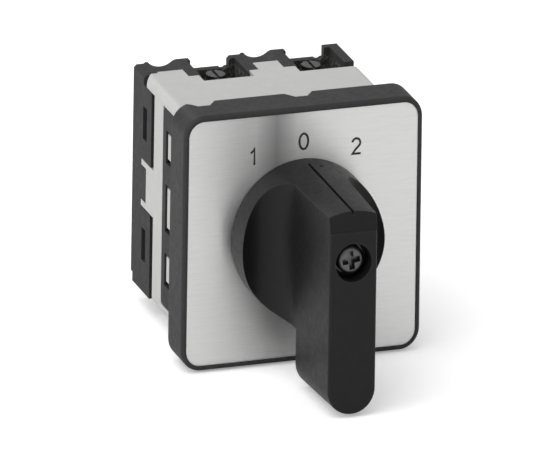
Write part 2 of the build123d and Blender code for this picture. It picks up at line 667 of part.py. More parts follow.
def coil_spring(name, centre_y, start_z, end_z, coil_r):
    """A round-wire compression spring along Z, written as its own node."""
    turn = 1 if end_z > start_z else -1
    seat = SPRING_WIRE_R + SPRING_SEAT
    length = abs(end_z - start_z) - 2 * seat
    helix = Helix(
        pitch=length / SPRING_TURNS, height=length, radius=coil_r,
        center=(0, centre_y, start_z + turn * seat), direction=(0, 0, turn),
    )
    with BuildPart() as spring:
        with BuildLine():
            add(helix)
        with BuildSketch(Plane(origin=helix @ 0, z_dir=helix % 0)):
            Circle(SPRING_WIRE_R)
        sweep(is_frenet=True)
    save(spring, name)


for number, plane in enumerate(CONTACT_PLANES, start=1):
    for word, turn in (("top", 1), ("bottom", -1)):
        with BuildPart() as carrier:
            with BuildSketch(at_back(plane + CARRIER_Y / 2)):
                with BuildLine():
                    foot = CAM_MEAN_R + FOLLOWER_GAP
                    ankle = turn * (foot + FOOT_RISE)
                    shoulder = turn * (foot + FOOT_SHOULDER)
                    Polyline(
                        (-FOOT_HALF, ankle),
                        (-CARRIER_X / 2, shoulder),
                        (-CARRIER_X / 2, turn * CARRIER_TOP_Z),
                        (CARRIER_X / 2, turn * CARRIER_TOP_Z),
                        (CARRIER_X / 2, shoulder),
                        (FOOT_HALF, ankle),
                    )
                    ThreePointArc((FOOT_HALF, ankle), (0, turn * foot), (-FOOT_HALF, ankle))
                make_face()
                with Locations((0, turn * (BRIDGE_Z + BRIDGE_THICKNESS / 2))):
                    slot_height = BRIDGE_THICKNESS + 2 * RUNNING_GAP
                    Rectangle(CARRIER_X + SLOT_MARGIN, slot_height, mode=Mode.SUBTRACT)
            extrude(amount=CARRIER_Y)
            for face_y in (plane - CARRIER_Y / 2 + CHEEK_PLATE, plane + CARRIER_Y / 2):
                with BuildSketch(at_back(face_y)):
                    with Locations((0, turn * (BRIDGE_Z + BRIDGE_THICKNESS / 2))):
                        Rectangle(CARRIER_X, BRIDGE_THICKNESS + SLOT_MARGIN)
                extrude(amount=CHEEK_PLATE)
            with BuildSketch(Plane.XY.offset(turn * CARRIER_TOP_Z)):
                with Locations((0, plane)):
                    Circle(STEM_R)
            extrude(amount=turn * STEM_LENGTH)
        save(carrier, f"stage{number}_{word}_carrier")

        with BuildPart() as bridge:
            with BuildSketch(Plane.XY.offset(turn * BRIDGE_Z)):
                with Locations((0, plane)):
                    RectangleRounded(BRIDGE_X, BRIDGE_Y, BRIDGE_CORNER)
            extrude(amount=turn * BRIDGE_THICKNESS)
        save(bridge, f"stage{number}_{word}_bridge")

        with BuildPart() as bridge_tips:
            with BuildSketch(Plane.XY.offset(turn * BRIDGE_Z)):
                with Locations((TIP_X, plane), (-TIP_X, plane)):
                    Circle(TIP_R)
            extrude(amount=-turn * TIP_THICKNESS)
        save(bridge_tips, f"stage{number}_{word}_tips")

        spring_name = f"stage{number}_{word}_spring"
        coil_spring(spring_name, plane, turn * CARRIER_TOP_Z, turn * CAVITY_Z / 2, SPRING_R)

# ---------------------------------------------------------------- detent
STAR_LOBE_R = 8.6
STAR_VALLEYS = 12
ROLLER_R = 1.5
VALLEY_R = 1.7
VALLEY_DEPTH = 1.2
ROLLER_GAP = 0.1
ROLLER_Z = STAR_LOBE_R + ROLLER_R + ROLLER_GAP
ROLLER_LENGTH = 3.2
PIN_R = 0.6
SLIDER_TOP_Z = 13.4
SLIDER_LUG_R = 1.2
SLIDER_SLOT_GAP = 0.15
PIN_PRESS_GAP = 0.02
STAR_THICKNESS = 4.8
STAR_ROUND = 0.25
DETENT_SPRING_R = 1.9
SHAFT_BORE = SHAFT_SQUARE + ASSEMBLY_GAP


def lobe_edges(star):
    """The sharp edges along the shaft direction where the valleys meet the rim."""
    lengthwise = star.edges().filter_by(Axis.Y)
    return lengthwise.filter_by(lambda edge: edge.center().X**2 + edge.center().Z**2 > SHAFT_BORE**2)


with BuildPart() as detent_star:
    with BuildSketch(at_back(DETENT_PLANE + STAR_THICKNESS / 2)):
        Circle(STAR_LOBE_R)
        with PolarLocations(STAR_LOBE_R - VALLEY_DEPTH + VALLEY_R, STAR_VALLEYS):
            Circle(VALLEY_R, mode=Mode.SUBTRACT)
        Rectangle(SHAFT_BORE, SHAFT_BORE, mode=Mode.SUBTRACT)
    extrude(amount=STAR_THICKNESS)
    fillet(lobe_edges(detent_star), radius=STAR_ROUND)
save(detent_star, "detent_star")

for word, turn in (("top", 1), ("bottom", -1)):
    with BuildPart() as slider:
        with BuildSketch(at_back(DETENT_PLANE + SLIDER_Y / 2)):
            with Locations((0, turn * (ROLLER_Z + SLIDER_TOP_Z) / 2)):
                Rectangle(SLIDER_X, SLIDER_TOP_Z - ROLLER_Z)
            with Locations((0, turn * ROLLER_Z)):
                Circle(SLIDER_LUG_R)
        extrude(amount=SLIDER_Y)
        with BuildSketch(at_back(DETENT_PLANE + ROLLER_LENGTH / 2 + ASSEMBLY_GAP)):
            with Locations((0, turn * ROLLER_Z)):
                Rectangle(SLIDER_X + SLOT_MARGIN, 2 * (ROLLER_R + SLIDER_SLOT_GAP))
        extrude(amount=ROLLER_LENGTH + 2 * ASSEMBLY_GAP, mode=Mode.SUBTRACT)
        with BuildSketch(at_back(DETENT_PLANE + SLIDER_Y / 2)):
            with Locations((0, turn * ROLLER_Z)):
                Circle(PIN_R + PIN_PRESS_GAP)
        extrude(amount=SLIDER_Y, mode=Mode.SUBTRACT)
    save(slider, f"detent_{word}_slider")

    with BuildPart() as roller:
        with BuildSketch(at_back(DETENT_PLANE + ROLLER_LENGTH / 2)):
            with Locations((0, turn * ROLLER_Z)):
                Circle(ROLLER_R)
                Circle(PIN_R + RUNNING_GAP, mode=Mode.SUBTRACT)
        extrude(amount=ROLLER_LENGTH)
    save(roller, f"detent_{word}_roller")

    with BuildPart() as pin:
        with BuildSketch(at_back(DETENT_PLANE + SLIDER_Y / 2 - RUNNING_GAP)):
            with Locations((0, turn * ROLLER_Z)):
                Circle(PIN_R)
        extrude(amount=SLIDER_Y - 2 * RUNNING_GAP)
    save(pin, f"detent_{word}_pin")

    spring_name = f"detent_{word}_spring"
    spring_end = turn * DETENT_CAVITY_Z / 2
    coil_spring(spring_name, DETENT_PLANE, turn * SLIDER_TOP_Z, spring_end, DETENT_SPRING_R)

# ---------------------------------------------------------------- rotor inside the housing
SHAFT_FRONT_Y = -26.4
JOURNAL_FRONT_Y = -7.0
SQUARE_BACK_Y = 28.3
TAIL_BACK_Y = 30.5
HUB_R = 5.2
SHAFT_CHAMFER = 0.5
CIRCLIP_FRONT_Y = 29.75
CIRCLIP_GROOVE = 0.55
CIRCLIP_THICKNESS = 0.45
CIRCLIP_REACH = 1.2
CIRCLIP_BITE = 0.35
GROOVE_BITE = 0.4
CIRCLIP_MOUTH = (3.0, 4.0)

with BuildPart() as drive_shaft:
    with BuildSketch(at_back(SQUARE_BACK_Y)):
        Rectangle(SHAFT_SQUARE, SHAFT_SQUARE)
    extrude(amount=SQUARE_BACK_Y - SHAFT_FRONT_Y)
    with BuildSketch(at_back(DETENT_FRONT_Y)):
        Circle(JOURNAL_R)
    extrude(amount=DETENT_FRONT_Y - JOURNAL_FRONT_Y)
    with BuildSketch(at_back(TAIL_BACK_Y)):
        Circle(TAIL_JOURNAL_R)
    extrude(amount=TAIL_BACK_Y - SQUARE_BACK_Y)
    with BuildSketch(at_back(CIRCLIP_FRONT_Y + CIRCLIP_GROOVE)):
        Circle(TAIL_JOURNAL_R)
        Circle(TAIL_JOURNAL_R - GROOVE_BITE, mode=Mode.SUBTRACT)
    extrude(amount=CIRCLIP_GROOVE, mode=Mode.SUBTRACT)
    chamfer(drive_shaft.faces().sort_by(Axis.Y)[0].edges(), length=SHAFT_CHAMFER)
save(drive_shaft, "drive_shaft")

with BuildPart() as shaft_circlip:
    with BuildSketch(at_back(CIRCLIP_FRONT_Y + CIRCLIP_GROOVE - RUNNING_GAP)):
        Circle(TAIL_JOURNAL_R + CIRCLIP_REACH)
        Circle(TAIL_JOURNAL_R - CIRCLIP_BITE, mode=Mode.SUBTRACT)
        with Locations((0, -TAIL_JOURNAL_R)):
            Rectangle(*CIRCLIP_MOUTH, mode=Mode.SUBTRACT)
    extrude(amount=CIRCLIP_THICKNESS)
save(shaft_circlip, "shaft_circlip")

with BuildPart() as stop_arm:
    with BuildSketch(at_back(STOP_BACK_Y)):
        Circle(HUB_R)
        with Locations((STOP_ARM_REACH / 2, 0)):
            Rectangle(STOP_ARM_REACH, STOP_ARM_WIDTH)
        Rectangle(SHAFT_BORE, SHAFT_BORE, mode=Mode.SUBTRACT)
    extrude(amount=STOP_BACK_Y - STOP_FRONT_Y)
save(stop_arm, "stop_arm")

SPIRAL_STEPS = 12
SPIRAL_MARGIN = 4.0


def cam_outline():
    """Cam profile: a high arc on the left and a low arc on the right, joined by linear spirals."""
    limit = radians(TURN_LIMIT)
    span = limit + radians(SPIRAL_MARGIN)
    rise = CONTACT_TRAVEL / limit

    def spiral(middle, sign):
        angles = [middle + span * (2 * i / SPIRAL_STEPS - 1) for i in range(SPIRAL_STEPS + 1)]
        radii = [CAM_MEAN_R + sign * rise * (angle - middle) for angle in angles]
        return [(r * cos(a), r * sin(a)) for r, a in zip(radii, angles)]

    upper = spiral(pi / 2, 1)
    lower = spiral(3 * pi / 2, -1)
    high = CAM_MEAN_R + rise * span
    low = CAM_MEAN_R - rise * span
    Spline(*upper)
    ThreePointArc(upper[-1], (-high, 0), lower[0])
    Spline(*lower)
    ThreePointArc(lower[-1], (low, 0), upper[0])


for number, plane in enumerate(CONTACT_PLANES, start=1):
    with BuildPart() as cam:
        with BuildSketch(at_back(plane + CAM_THICKNESS / 2)):
            with BuildLine():
                cam_outline()
            make_face()
            Rectangle(SHAFT_BORE, SHAFT_BORE, mode=Mode.SUBTRACT)
        extrude(amount=CAM_THICKNESS)
    save(cam, f"stage{number}_cam")

# ---------------------------------------------------------------- handle
DISC_BACK_Y = PLATE_FRONT_Y - 0.15
DISC_FRONT_Y = PLATE_FRONT_Y - KNOB_RISE
SCOOP_Y = DISC_FRONT_Y - SCOOP_R
LEVER_FRONT_Y = PLATE_FRONT_Y - LEVER_REACH
TAIL_BACK_PLANE = PLATE_FRONT_Y - TAIL_GAP
WELL_DEPTH = 3.8
WELL_FLOOR_Y = LEVER_FRONT_Y + WELL_DEPTH
OVERRUN = 1.0
STEP_Z = 10.3
STEP_DEPTH = 1.0
STEP_LIP = 0.25
GROOVE_WIDTH = 0.6
GROOVE_DEPTH = 0.8
EDGE_ROUND = 0.5
GROOVE_START = 2.3
HANDLE_SCREW_R = 1.2
HANDLE_HEAD_R = 2.7
HANDLE_HEAD_HEIGHT = 1.9
HANDLE_SCREW_LENGTH = 11.4
LOCK_WASHER = 0.6
WASHER_REACH = 0.3
WASHER_SPLIT = (0.5, 3.2)
RECESS_LENGTH = 3.5
RECESS_WIDTH = 1.1
RECESS_DEPTH = 1.2
RECESS_DRAFT = 8.0
RECESS_ANGLE = 8.0
WEDGE_BACK_Y = -20.6
WEDGE_ROOF = (6.5, 7.1)
MARK_SPOT = (2.1, DISC_FRONT_Y + 0.9)
MARK_R = 0.45
MARK_Z = KNOB_R - 0.45


def top_radius(station):
    """Radius of the handle's drafted round body at a station along the shaft axis."""
    return KNOB_R - tan(radians(KNOB_DRAFT)) * (DISC_BACK_Y - station)


def flank_x(station):
    """Half width of the tapered lever at a station along the shaft axis."""
    return LEVER_WIDTH / 2 + LEVER_TAPER * (station - LEVER_FRONT_Y)


with BuildPart() as handle_tail:
    with BuildSketch(Plane.XY.offset(-TAIL_LENGTH - TAIL_DROP)):
        with BuildLine():
            Polyline(
                (-flank_x(TAIL_BACK_PLANE), TAIL_BACK_PLANE),
                (-flank_x(LEVER_FRONT_Y), LEVER_FRONT_Y),
                (flank_x(LEVER_FRONT_Y), LEVER_FRONT_Y),
                (flank_x(TAIL_BACK_PLANE), TAIL_BACK_PLANE),
                close=True,
            )
        make_face()
    extrude(amount=TAIL_LENGTH + TAIL_DROP)
    with BuildSketch(Plane.YZ):
        with BuildLine():
            Polyline(
                (TAIL_BACK_PLANE, 0),
                (TAIL_BACK_PLANE, -TAIL_LENGTH - TAIL_DROP),
                (LEVER_FRONT_Y, -TAIL_LENGTH),
                (LEVER_FRONT_Y, 0),
                close=True,
            )
        make_face()
    extrude(amount=LEVER_WIDTH, both=True, mode=Mode.INTERSECT)
    lower_edges = handle_tail.faces().sort_by(Axis.Z)[0].edges()
    fillet(lower_edges.sort_by(Axis.X)[0], radius=TAIL_ROUND)
    lower_edges = handle_tail.faces().sort_by(Axis.Z)[0].edges()
    fillet(lower_edges.sort_by(Axis.X)[-1], radius=TAIL_ROUND)

with BuildPart() as handle_knob:
    with BuildSketch(Plane.XY.offset(-KNOB_R)):
        scoop_x = flank_x(SCOOP_Y) + SCOOP_R * sqrt(1 + LEVER_TAPER**2)
        with BuildLine():
            Polyline(
                (0, LEVER_FRONT_Y),
                (flank_x(LEVER_FRONT_Y), LEVER_FRONT_Y),
                (flank_x(SCOOP_Y), SCOOP_Y),
                (KNOB_R, SCOOP_Y),
                (KNOB_R, DISC_BACK_Y),
                (0, DISC_BACK_Y),
                close=True,
            )
        make_face()
        with Locations((scoop_x, SCOOP_Y)):
            Circle(SCOOP_R, mode=Mode.SUBTRACT)
        mirror(about=Plane.YZ)
    extrude(amount=2 * KNOB_R)
    with BuildSketch(at_back(DISC_BACK_Y)):
        Circle(KNOB_R)
    extrude(amount=DISC_BACK_Y - LEVER_FRONT_Y, taper=KNOB_DRAFT, mode=Mode.INTERSECT)
    add(handle_tail.part)
    front_rim = handle_knob.faces().sort_by(Axis.Y)[0].edges()
    fillet(front_rim, radius=EDGE_ROUND)
    with BuildSketch(at_back(SHAFT_FRONT_Y)):
        Rectangle(SHAFT_BORE, SHAFT_BORE)
    extrude(amount=SHAFT_FRONT_Y - DISC_BACK_Y - OVERRUN, mode=Mode.SUBTRACT)
    with BuildSketch(at_back(WELL_FLOOR_Y)):
        with Locations((0, SCREW_Z)):
            Circle(SCREW_WELL_R)
    extrude(amount=WELL_FLOOR_Y - LEVER_FRONT_Y, mode=Mode.SUBTRACT)
    with BuildSketch(at_back(SHAFT_FRONT_Y)):
        with Locations((0, SCREW_Z)):
            Circle(HANDLE_SCREW_R + ASSEMBLY_GAP)
    extrude(amount=SHAFT_FRONT_Y - WELL_FLOOR_Y, mode=Mode.SUBTRACT)
    with BuildSketch(Plane.YZ):
        with BuildLine():
            Polyline(
                (SHAFT_FRONT_Y, 0),
                (SHAFT_FRONT_Y, WEDGE_ROOF[0]),
                (WEDGE_BACK_Y, WEDGE_ROOF[1]),
                (DISC_BACK_Y + OVERRUN, WEDGE_ROOF[1]),
                (DISC_BACK_Y + OVERRUN, 0),
                close=True,
            )
        make_face()
    extrude(amount=SHAFT_BORE / 2, both=True, mode=Mode.SUBTRACT)
    with BuildSketch(Plane.YZ):
        with BuildLine():
            Polyline(
                (DISC_FRONT_Y + GROOVE_START, KNOB_R + OVERRUN),
                (DISC_FRONT_Y + GROOVE_START, top_radius(DISC_FRONT_Y) - GROOVE_DEPTH),
                (LEVER_FRONT_Y - OVERRUN, top_radius(LEVER_FRONT_Y) - GROOVE_DEPTH),
                (LEVER_FRONT_Y - OVERRUN, KNOB_R + OVERRUN),
                close=True,
            )
        make_face()
    extrude(amount=GROOVE_WIDTH / 2, both=True, mode=Mode.SUBTRACT)
    with BuildSketch(Plane.YZ):
        with BuildLine():
            Polyline(
                (LEVER_FRONT_Y - OVERRUN, STEP_Z),
                (LEVER_FRONT_Y + STEP_LIP, STEP_Z),
                (LEVER_FRONT_Y + STEP_DEPTH, KNOB_R),
                (LEVER_FRONT_Y - OVERRUN, KNOB_R),
                close=True,
            )
        make_face()
    extrude(amount=LEVER_WIDTH, both=True, mode=Mode.SUBTRACT)
    with BuildSketch(Plane.XY.offset(MARK_Z)):
        with Locations(MARK_SPOT):
            Circle(MARK_R)
    extrude(amount=OVERRUN, mode=Mode.SUBTRACT)
save(handle_knob, "handle_knob")

with BuildPart() as clamp_wedge:
    with BuildSketch(Plane.YZ):
        with BuildLine():
            Polyline(
                (SHAFT_FRONT_Y + ASSEMBLY_GAP, SHAFT_SQUARE / 2 + RUNNING_GAP),
                (SHAFT_FRONT_Y + ASSEMBLY_GAP, WEDGE_ROOF[0] - ASSEMBLY_GAP),
                (WEDGE_BACK_Y, WEDGE_ROOF[1] - ASSEMBLY_GAP),
                (WEDGE_BACK_Y, SHAFT_SQUARE / 2 + RUNNING_GAP),
                close=True,
            )
        make_face()
    extrude(amount=SHAFT_SQUARE / 2, both=True)
    with BuildSketch(at_back(WEDGE_BACK_Y)):
        with Locations((0, SCREW_Z)):
            Circle(HANDLE_SCREW_R + RUNNING_GAP)
    extrude(amount=WEDGE_BACK_Y - SHAFT_FRONT_Y, mode=Mode.SUBTRACT)
save(clamp_wedge, "clamp_wedge")

with BuildPart() as handle_screw:
    with BuildSketch(at_back(WELL_FLOOR_Y - LOCK_WASHER)):
        with Locations((0, SCREW_Z)):
            Circle(HANDLE_HEAD_R)
    extrude(amount=HANDLE_HEAD_HEIGHT)
    fillet(handle_screw.faces().sort_by(Axis.Y)[0].edges(), radius=HANDLE_HEAD_HEIGHT / 2)
    with BuildSketch(at_back(WELL_FLOOR_Y - LOCK_WASHER)):
        with Locations((0, SCREW_Z)):
            Circle(HANDLE_SCREW_R)
    extrude(amount=-HANDLE_SCREW_LENGTH)
    with BuildSketch(at_back(WELL_FLOOR_Y - LOCK_WASHER - HANDLE_HEAD_HEIGHT)):
        with Locations((0, SCREW_Z)):
            with PolarLocations(0, 2, start_angle=RECESS_ANGLE, angular_range=180):
                Rectangle(RECESS_LENGTH, RECESS_WIDTH)
    extrude(amount=-RECESS_DEPTH, taper=RECESS_DRAFT, mode=Mode.SUBTRACT)
save(handle_screw, "handle_screw")

with BuildPart() as lock_washer:
    with BuildSketch(at_back(WELL_FLOOR_Y)):
        with Locations((0, SCREW_Z)):
            Circle(HANDLE_HEAD_R + WASHER_REACH)
            Circle(HANDLE_SCREW_R + ASSEMBLY_GAP, mode=Mode.SUBTRACT)
        with Locations((0, SCREW_Z - HANDLE_HEAD_R)):
            Rectangle(*WASHER_SPLIT, mode=Mode.SUBTRACT)
    extrude(amount=LOCK_WASHER)
save(lock_washer, "lock_washer")
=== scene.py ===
"""Looks for the manual transfer switch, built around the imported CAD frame.

Everything is in metres in the CAD frame: +X right, +Z up, +Y into the panel.
"""
import json
import math

import bmesh
import bpy
from mathutils import Matrix, Vector


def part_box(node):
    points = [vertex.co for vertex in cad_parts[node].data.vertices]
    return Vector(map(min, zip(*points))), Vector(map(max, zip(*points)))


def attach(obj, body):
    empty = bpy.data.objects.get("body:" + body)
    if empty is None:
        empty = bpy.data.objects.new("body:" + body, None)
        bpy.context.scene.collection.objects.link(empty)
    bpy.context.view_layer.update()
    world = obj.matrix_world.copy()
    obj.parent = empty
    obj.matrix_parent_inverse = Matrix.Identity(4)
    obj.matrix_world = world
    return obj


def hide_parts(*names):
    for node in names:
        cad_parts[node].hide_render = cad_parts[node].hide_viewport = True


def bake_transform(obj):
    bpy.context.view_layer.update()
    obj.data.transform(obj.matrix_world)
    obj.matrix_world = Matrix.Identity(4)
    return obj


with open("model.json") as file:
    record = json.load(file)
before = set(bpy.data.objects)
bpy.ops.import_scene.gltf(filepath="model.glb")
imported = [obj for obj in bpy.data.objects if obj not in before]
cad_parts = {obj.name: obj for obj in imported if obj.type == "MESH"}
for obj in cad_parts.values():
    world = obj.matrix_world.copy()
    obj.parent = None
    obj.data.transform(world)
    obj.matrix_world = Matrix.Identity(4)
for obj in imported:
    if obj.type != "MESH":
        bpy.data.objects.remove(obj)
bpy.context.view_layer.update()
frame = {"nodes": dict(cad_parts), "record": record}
NODES = frame["nodes"]
MM = 0.001
# agreement between the rounded and the true normal, on a flat and on a sharp edge
EDGE_RANGE = (0.995, 0.75)


# ------------------------------------------------------------------ node helpers
class Graph:
    """A small builder for one material's node tree."""

    def __init__(self, name):
        self.material = bpy.data.materials.new(name)
        self.material.use_nodes = True
        self.tree = self.material.node_tree
        self.tree.nodes.clear()
        self.out = self.tree.nodes.new("ShaderNodeOutputMaterial")
        self.bsdf = self.add("ShaderNodeBsdfPrincipled")
        self.link(self.bsdf.outputs["BSDF"], self.out.inputs["Surface"])
        self.place = self.add("ShaderNodeTexCoord").outputs["Object"]

    def add(self, kind, **values):
        node = self.tree.nodes.new(kind)
        for key, value in values.items():
            if hasattr(node, key):
                setattr(node, key, value)
            else:
                node.inputs[key].default_value = value
        return node

    def link(self, source, target):
        self.tree.links.new(source, target)

    def scaled(self, scale):
        """Object coordinates stretched by a scale per axis."""
        mapping = self.add("ShaderNodeMapping")
        mapping.inputs["Scale"].default_value = scale
        self.link(self.place, mapping.inputs["Vector"])
        return mapping.outputs["Vector"]

    def noise(self, scale, detail=4.0, rough=0.6, stretch=(1, 1, 1)):
        node = self.add("ShaderNodeTexNoise")
        node.inputs["Scale"].default_value = scale
        node.inputs["Detail"].default_value = detail
        node.inputs["Roughness"].default_value = rough
        self.link(self.scaled(stretch), node.inputs["Vector"])
        return node.outputs["Fac"]

    def remap(self, value, low, high, to_low, to_high):
        node = self.add("ShaderNodeMapRange")
        for key, number in zip(("From Min", "From Max", "To Min", "To Max"), (low, high, to_low, to_high)):
            node.inputs[key].default_value = number
        self.link(value, node.inputs["Value"])
        return node.outputs["Result"]

    def mix(self, factor, first, second):
        """Colour mix; each input is a colour tuple or a socket."""
        node = self.add("ShaderNodeMix", data_type="RGBA")
        for socket, value in ((node.inputs[0], factor), (node.inputs[6], first), (node.inputs[7], second)):
            if isinstance(value, bpy.types.NodeSocket):
                self.link(value, socket)
            else:
                socket.default_value = value
        return node.outputs[2]

    def math(self, operation, first, second=0.0):
        node = self.add("ShaderNodeMath", operation=operation)
        for socket, value in zip(node.inputs, (first, second)):
            if isinstance(value, bpy.types.NodeSocket):
                self.link(value, socket)
            else:
                socket.default_value = value
        return node.outputs[0]

    def axis(self, letter):
        """One object coordinate."""
        split = self.add("ShaderNodeSeparateXYZ")
        self.link(self.place, split.inputs[0])
        return split.outputs[letter]

    def bump(self, height, distance, strength=1.0, normal=None):
        node = self.add("ShaderNodeBump")
        node.inputs["Strength"].default_value = strength
        node.inputs["Distance"].default_value = distance
        self.link(height, node.inputs["Height"])
        if normal is not None:
            self.link(normal, node.inputs["Normal"])
        return node.outputs["Normal"]

    def edge_mask(self, radius):
        """1 on sharp edges and 0 on flats, with the rounded normal that goes with it."""
        bevel = self.add("ShaderNodeBevel", samples=4)
        bevel.inputs["Radius"].default_value = radius
        geometry = self.add("ShaderNodeNewGeometry")
        dot = self.add("ShaderNodeVectorMath", operation="DOT_PRODUCT")
        self.link(bevel.outputs["Normal"], dot.inputs[0])
        self.link(geometry.outputs["Normal"], dot.inputs[1])
        return self.remap(dot.outputs["Value"], *EDGE_RANGE, 0.0, 1.0), bevel.outputs["Normal"]

    def set(self, key, value):
        socket = self.bsdf.inputs[key]
        if isinstance(value, bpy.types.NodeSocket):
            self.link(value, socket)
        else:
            socket.default_value = value


def rgb(value, tint=(1.0, 1.0, 1.0)):
    """A linear grey as an RGBA colour, with a slight tint."""
    return (value * tint[0], value * tint[1], value * tint[2], 1.0)


# ------------------------------------------------------------------ materials
# where the terminal pockets of the rear housing are: axis, start and end of the fade in mm, values
POCKET_FADES = (
    ("X", 18.9, 19.2, 1.0, 0.0),
    ("Y", 18.6, 19.0, 0.0, 1.0),
    ("Y", 29.2, 29.5, 1.0, 0.0),
    ("Z", 15.5, 15.8, 0.0, 1.0),
    ("Z", 19.3, 19.6, 1.0, 0.0),
)
MOTTLE_SCALE = 420.0
ROUGHNESS_SCALE = 900.0
GRAIN_SCALE = 2600.0
FLECK_SCALE = 1500.0
FLECK_TONE = 0.16
FLECK_HEIGHT = 0.25 * MM


def pocket_mask(g):
    """1 inside the terminal pockets and 0 elsewhere; the part is the same after a half turn about Y."""
    mask = None
    for letter, start, end, before, after in POCKET_FADES:
        place = g.axis(letter) if letter == "Y" else g.math("ABSOLUTE", g.axis(letter))
        fade = g.remap(place, start * MM, end * MM, before, after)
        mask = fade if mask is None else g.math("MULTIPLY", mask, fade)
    return mask


def moulded_plastic(name, base, tint=(1, 1, 1), rough=0.45, grain=0.012, edge_highlight_gain=1.6, edge=0.25,
                    shine=0.4, contrast=0.08, speckled=False):
    """Moulded thermoplastic: spark-eroded grain, faint flow mottling, and edges lightened in the colour as
    a painted highlight.
    """
    g = Graph(name)
    mask, rounded = g.edge_mask(edge * MM)
    low, high = rgb(base * (1 - contrast), tint), rgb(base * (1 + contrast), tint)
    body = g.mix(g.remap(g.noise(MOTTLE_SCALE, 6.0, 0.65), 0.35, 0.65, 0.0, 1.0), low, high)
    normal = g.bump(g.noise(GRAIN_SCALE, 2.0, 0.5), grain * MM, 0.6, rounded)
    if speckled:
        flecks = g.remap(g.noise(FLECK_SCALE, 4.0, 0.8), 0.45, 0.6, 0.0, 1.0)
        flecks = g.math("MULTIPLY", flecks, pocket_mask(g))
        body = g.mix(flecks, body, rgb(FLECK_TONE))
        normal = g.bump(flecks, FLECK_HEIGHT, 1.0, normal)
    # painted highlight: sharp edges are lightened in the base colour by the edge gain
    painted_edge_highlight = rgb(min(base * edge_highlight_gain, 0.9), tint)
    g.set("Base Color", g.mix(g.math("MULTIPLY", mask, 0.6), body, painted_edge_highlight))
    g.set("Roughness", g.remap(g.noise(ROUGHNESS_SCALE, 3.0), 0.3, 0.7, rough - 0.05, rough + 0.07))
    g.set("Normal", normal)
    g.set("Specular IOR Level", shine)
    return g.material


# brush lines per metre along X, Y and Z, and a painted reflection: a soft dark band left of the middle,
# above the knob
FINE_BRUSHING = (260.0, 260.0, 9000.0)
BROAD_BRUSHING = (110.0, 110.0, 3600.0)
PLATE_LOW = 0.90
PLATE_HIGH = 0.985
PAINTED_REFLECTION_X = -5.4 * MM
PAINTED_REFLECTION_HALF_WIDTH = 4.2 * MM
PAINTED_REFLECTION_FOOT_Z = -2.0 * MM
PAINTED_REFLECTION_HEAD_Z = 14.0 * MM
PAINTED_REFLECTION_STRENGTH = 0.75
PAINTED_REFLECTION_TONE = 0.40
BRUSH_DEPTH = 0.003 * MM


def brushed_plate():
    """Aluminium brushed left to right; the dark band stands for a reflection in the brushed face."""
    g = Graph("brushed_aluminium")
    mask, rounded = g.edge_mask(0.15 * MM)
    fine = g.noise(1.0, 3.0, 0.7, FINE_BRUSHING)
    broad = g.noise(1.0, 3.0, 0.6, BROAD_BRUSHING)
    tone = g.math("ADD", g.math("MULTIPLY", fine, 0.6), g.math("MULTIPLY", broad, 0.4))
    bright = rgb(PLATE_HIGH, (1, 1, 0.985))
    body = g.mix(g.remap(tone, 0.36, 0.64, 0.0, 1.0), rgb(PLATE_LOW), bright)
    # painted reflection: a soft dark band is painted into the plate's colour left of the middle, above the
    # knob
    across = g.math("ABSOLUTE", g.math("ADD", g.axis("X"), -PAINTED_REFLECTION_X))
    painted_reflection = g.remap(across, 0.0, PAINTED_REFLECTION_HALF_WIDTH, 1.0, 0.0)
    painted_reflection = g.math("MULTIPLY", painted_reflection, g.remap(g.axis("Z"), PAINTED_REFLECTION_FOOT_Z, PAINTED_REFLECTION_HEAD_Z, 0.0, 1.0))
    body = g.mix(g.math("MULTIPLY", painted_reflection, PAINTED_REFLECTION_STRENGTH), body, rgb(PAINTED_REFLECTION_TONE))
    # painted highlight: the plate's sharp edges are lightened towards white
    g.set("Base Color", g.mix(mask, body, rgb(0.95)))
    g.set("Metallic", 1.0)
    g.set("Roughness", g.remap(tone, 0.3, 0.7, 0.42, 0.50))
    g.set("Anisotropic", 0.9)
    g.set("Anisotropic Rotation", 0.25)
    tangent = g.add("ShaderNodeTangent", direction_type="RADIAL", axis="Z")
    g.link(tangent.outputs["Tangent"], g.bsdf.inputs["Tangent"])
    g.set("Normal", g.bump(tone, BRUSH_DEPTH, 0.5, rounded))
    return g.material


PATCH_SCALE = 700.0
SCRATCH_SCALE = 3000.0


def metal(name, base, tint=(1, 1, 1), rough=0.3, scratch=(1, 1, 1)):
    """Plated or stamped metal with fine scratches, dull patches, and edges lightened in the colour as a
    painted highlight.
    """
    g = Graph(name)
    mask, rounded = g.edge_mask(0.08 * MM)
    patches = g.noise(PATCH_SCALE, 4.0, 0.6)
    dull, clean, painted_edge_highlight = (rgb(tone, tint) for tone in (base * 0.8, base * 1.1, min(base * 1.6, 0.95)))
    body = g.mix(g.remap(patches, 0.3, 0.7, 0.0, 1.0), dull, clean)
    # painted highlight: sharp edges are lightened in the base colour
    g.set("Base Color", g.mix(g.math("MULTIPLY", mask, 0.5), body, painted_edge_highlight))
    g.set("Metallic", 1.0)
    g.set("Roughness", g.remap(patches, 0.3, 0.7, rough - 0.06, rough + 0.12))
    g.set("Normal", g.bump(g.noise(SCRATCH_SCALE, 2.0, 0.5, scratch), 0.01 * MM, 0.5, rounded))
    return g.material


